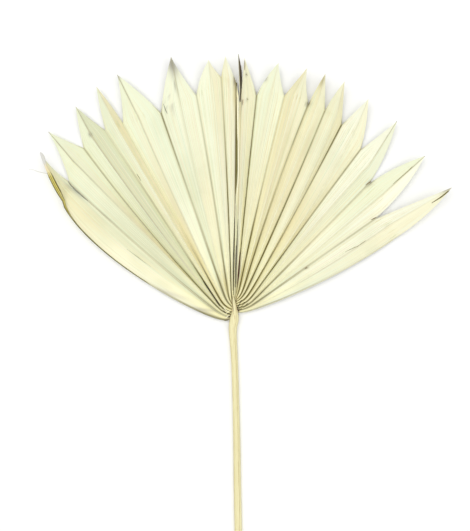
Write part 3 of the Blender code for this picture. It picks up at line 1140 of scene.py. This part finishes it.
marks = {
    "sides": 6,
    "patches": (150.0, 0.0),
    "stepsPerSpan": 4,
    "endShare": 0.35,  # of the greatest radius
    "dropFrom": 60.0,
    "levelReach": 2,  # how many points to each side level a mark
    "sunk": 0.05,
    "sunkShare": 0.3,  # of the radius
    "tones": {
        "black": (0.045, 0.035, 0.02),
        "dusk": (0.17, 0.15, 0.05),
        "shade": (0.52, 0.51, 0.36),
        "tan": (0.60, 0.47, 0.24),
        "red": (0.09, 0.03, 0.02),
        "brown": (0.24, 0.17, 0.08),
        "olive": (0.34, 0.31, 0.16),
        "grey": (0.27, 0.28, 0.21),
        "cream": (0.93, 0.90, 0.68),
    },
    # tone, greatest radius, and the points from the hub in mm
    "lines": [
        # the first segment's notch line and the soft line below it are painted shade
        (
            "grey",
            0.80,
            ((-140.6, 112.2), (-137.9, 108.1), (-133.5, 103.8), (-129.2, 100.0), (-122.1, 94.0)),
        ),
        ("shade", 0.60, ((-124.0, 95.6), (-115.6, 88.4), (-104.6, 79.1), (-93.5, 68.9))),
        # painted shade: the dark valleys beside the narrow strip near the middle, these three lines
        (
            "dusk",
            0.72,
            ((2.75, 189.6), (3.05, 168.3), (3.2, 147.1), (2.95, 121.6))
            + ((2.35, 104.5), (1.85, 87.5), (1.25, 74.0)),
        ),
        ("black", 0.46, ((1.7, 88.0), (0.95, 71.0), (0.45, 57.8), (0.0, 45.0), (0.0, 28.0), (0.0, 19.0))),
        ("black", 0.36, ((4.3, 80.0), (3.7, 71.0), (2.8, 53.5), (2.3, 38.2), (1.9, 22.0))),
        # a painted highlight along the lit edge right of that valley
        ("cream", 0.62, ((5.0, 172.0), (4.9, 150.0), (4.7, 121.0), (3.9, 104.5), (3.4, 92.0))),
        # painted shade: the dark sliver, the shaded inside of a folded segment seen edge on
        (
            "black",
            0.74,
            ((6.6, 210.0), (6.9, 204.0), (7.0, 197.6), (6.5, 189.0), (6.2, 184.0), (6.1, 179.5)),
        ),
        # painted shade: a dark valley line near the hub on the left
        ("black", 0.85, ((-25.5, 26.8), (-20.6, 20.0), (-15.8, 12.8), (-11.2, 5.4))),
        ("red", 0.80, ((5.8, 52.0), (5.1, 44.0), (4.5, 37.0), (4.3, 30.0), (4.2, 24.0))),
        ("dusk", 0.58, ((168.0, 93.2), (175.5, 98.0), (181.8, 103.2), (185.0, 106.3))),
        ("olive", 0.30, ((160.7, 132.6), (148.0, 120.0), (136.0, 109.7))),
        # these three lines are painted shade in the dark gaps between the folds' roots right of the hub
        ("black", 0.40, ((7.6, 11.9), (5.6, 7.4), (3.2, 3.8))),
        ("dusk", 0.36, ((10.6, 11.0), (8.2, 6.4), (4.6, 3.4))),
        ("dusk", 0.34, ((13.6, 9.4), (9.8, 5.2), (5.4, 2.6))),
        ("brown", 0.36, ((3.6, 15.6), (2.9, 11.0), (2.3, 7.6))),
        ("brown", 0.36, ((-1.4, 13.0), (-0.6, 8.4), (0.2, 5.0))),
        ("black", 0.34, ((-9.6, 4.0), (-7.2, 0.8), (-5.0, -0.8))),
        ("cream", 0.36, ((-8.2, 5.0), (-6.2, 2.4), (-3.6, 0.9))),
        ("tan", 0.34, ((-1.3, 3.4), (0.8, -0.9), (1.7, -5.1))),
        ("tan", 0.34, ((2.4, 8.5), (2.8, 3.4), (3.0, 0.0))),
        ("brown", 0.28, ((0.0, 6.0), (0.3, 3.0), (0.4, 0.8))),
        ("olive", 0.30, ((-90.1, 54.4), (-80.0, 46.8), (-69.7, 39.1))),
        ("olive", 0.35, ((112.6, 61.5), (106.3, 57.0), (95.2, 52.0))),
        ("brown", 0.45, ((113.0, 108.8), (115.6, 110.9), (117.9, 112.4))),
        ("brown", 0.42, ((117.3, 79.1), (119.9, 80.5), (122.2, 81.6))),
        ("brown", 0.42, ((61.0, 37.4), (62.2, 38.5), (63.2, 39.4))),
        ("grey", 0.42, ((-59.2, 178.1), (-57.6, 173.4), (-55.8, 169.2))),
        ("olive", 0.40, ((-82.0, 118.5), (-80.0, 115.6), (-78.2, 112.2))),
        ("brown", 0.38, ((9.9, 214.6), (10.1, 210.0), (9.9, 205.7))),
        ("olive", 0.50, ((11.0, 202.8), (11.6, 201.9), (12.0, 201.2))),
        ("olive", 0.50, ((11.8, 181.9), (12.5, 181.5), (12.9, 180.8))),
        ("brown", 0.34, ((8.1, 181.6), (8.3, 179.0), (8.2, 176.5))),
        ("black", 0.34, ((-5.6, -1.4), (-3.5, -0.4), (-1.4, 1.1))),
        ("black", 0.50, ((-3.8, -3.9), (-3.0, -3.2), (-2.2, -2.4))),
        ("red", 0.62, ((3.2, 3.6), (4.3, 2.2), (5.3, 1.2))),
        ("cream", 0.45, ((-6.4, -4.4), (-4.6, -2.6), (-2.9, -1.9))),
        ("cream", 0.40, ((-6.0, -0.6), (-4.2, 1.0), (-2.4, 1.9))),
        ("olive", 0.34, ((-9.0, -6.0), (-6.8, -6.7), (-4.4, -6.5))),
    ],
}


def drape(covers, x, y):
    top = 0.0
    for cover in covers:
        above = Vector((x, y, marks["dropFrom"])) * mm + hubAt
        hit = cover.ray_cast(above, Vector((0.0, 0.0, -1.0)))[0]
        if hit:
            top = max(top, hit.z / mm)
    return Vector((x, y, top))


def markStrands(covers):
    strands = []
    perSpan, endShare, reach = marks["stepsPerSpan"], marks["endShare"], marks["levelReach"]
    for tone, radius, path in marks["lines"]:
        spine = [Vector(point) for point in path]
        steps = perSpan * (len(spine) - 1)
        strand = []
        for step in range(steps + 1):
            before = min(step // perSpan, len(spine) - 2)
            at = spine[before].lerp(spine[before + 1], step / perSpan - before)
            bulk = radius * (endShare + (1 - endShare) * math.sin(math.pi * step / steps))
            strand.append((drape(covers, at.x, at.y), bulk, Vector(marks["tones"][tone])))
        heights = [point[0].z for point in strand]
        for step, (at, bulk, _) in enumerate(strand):
            around = heights[max(0, step - reach) : step + reach + 1]
            level = (max(around) + sum(around) / len(around)) / 2
            at.z = max(bulk, level - marks["sunk"] - marks["sunkShare"] * bulk)
        strands.append(strand)
    return strands


def coverOf(piece):
    corners = [vert.co for vert in piece.data.vertices]
    return BVHTree.FromPolygons(corners, [tuple(face.vertices) for face in piece.data.polygons])


draped = markStrands([coverOf(leafBlade), coverOf(leafStalk)])
growStrands("leafMarks", draped, marks["sides"], strandMaterial("leafMark", *marks["patches"]))


# floor, lights and camera

studio = {
    "floor": (0.93, 0.93, 0.92),
    "floorRoughness": 0.9,
    "floorGloss": 0.1,
    "floorReach": 4.0,
    "world": (1.0, 1.0, 1.0),
    "worldStrength": 0.55,
    "key": {"at": (-0.6, 0.35, 1.6), "size": 1.4, "power": 9.3},
    "fill": {"at": (0.9, -0.5, 1.6), "size": 1.4, "power": 6.5},
    "top": {"at": (0.0, 0.0, 2.2), "size": 2.0, "power": 13.0},
    "lens": 85.0,
    "sensor": 36.0,
    "clipFrom": 0.05,
    "frame": (470, 531),  # the picture's size in pixels, and the hub's place in it
    "hubPixel": (233, 313),
    "pixel": 0.85 * mm,
    "leafLevel": 6 * mm,
}


def addLight(name, at, size, power):
    light = bpy.data.lights.new(name, "AREA")
    light.shape = "DISK"
    light.size = size
    light.energy = power
    lamp = bpy.data.objects.new(name, light)
    lamp.location = at
    lamp.rotation_euler = (-Vector(at)).to_track_quat("-Z", "Y").to_euler()
    bpy.context.scene.collection.objects.link(lamp)


def addFloor():
    mesh = bpy.data.meshes.new("floor")
    far = studio["floorReach"]
    mesh.from_pydata([(-far, -far, 0), (far, -far, 0), (far, far, 0), (-far, far, 0)], [], [(0, 1, 2, 3)])
    floor = bpy.data.objects.new("floor", mesh)
    bpy.context.scene.collection.objects.link(floor)
    material, _, shader = newMaterial("palePaper", studio["floorRoughness"], studio["floorGloss"])
    shader.inputs["Base Color"].default_value = (*studio["floor"], 1.0)
    mesh.materials.append(material)


def addWorld():
    world = bpy.data.worlds.new("studio")
    world.use_nodes = True
    background = world.node_tree.nodes["Background"]
    background.inputs[0].default_value = (*studio["world"], 1.0)
    background.inputs[1].default_value = studio["worldStrength"]
    bpy.context.scene.world = world


def addCamera():
    camera = bpy.data.cameras.new("camera")
    camera.lens = studio["lens"]
    camera.sensor_width = studio["sensor"]
    camera.clip_start = studio["clipFrom"]
    eye = bpy.data.objects.new("camera", camera)
    (wide, high), (across, down) = studio["frame"], studio["hubPixel"]
    middle = Vector((wide / 2 - across, down - high / 2, 0.0)) * studio["pixel"] + hubAt
    distance = max(wide, high) * studio["pixel"] * studio["lens"] / studio["sensor"]
    eye.location = (middle.x, middle.y, distance + studio["leafLevel"])
    bpy.context.scene.collection.objects.link(eye)
    bpy.context.scene.camera = eye


addFloor()
for name in ("key", "fill", "top"):
    addLight(name, **studio[name])
addWorld()
bpy.context.scene.view_settings.view_transform = "Standard"
addCamera()
print("studio set")
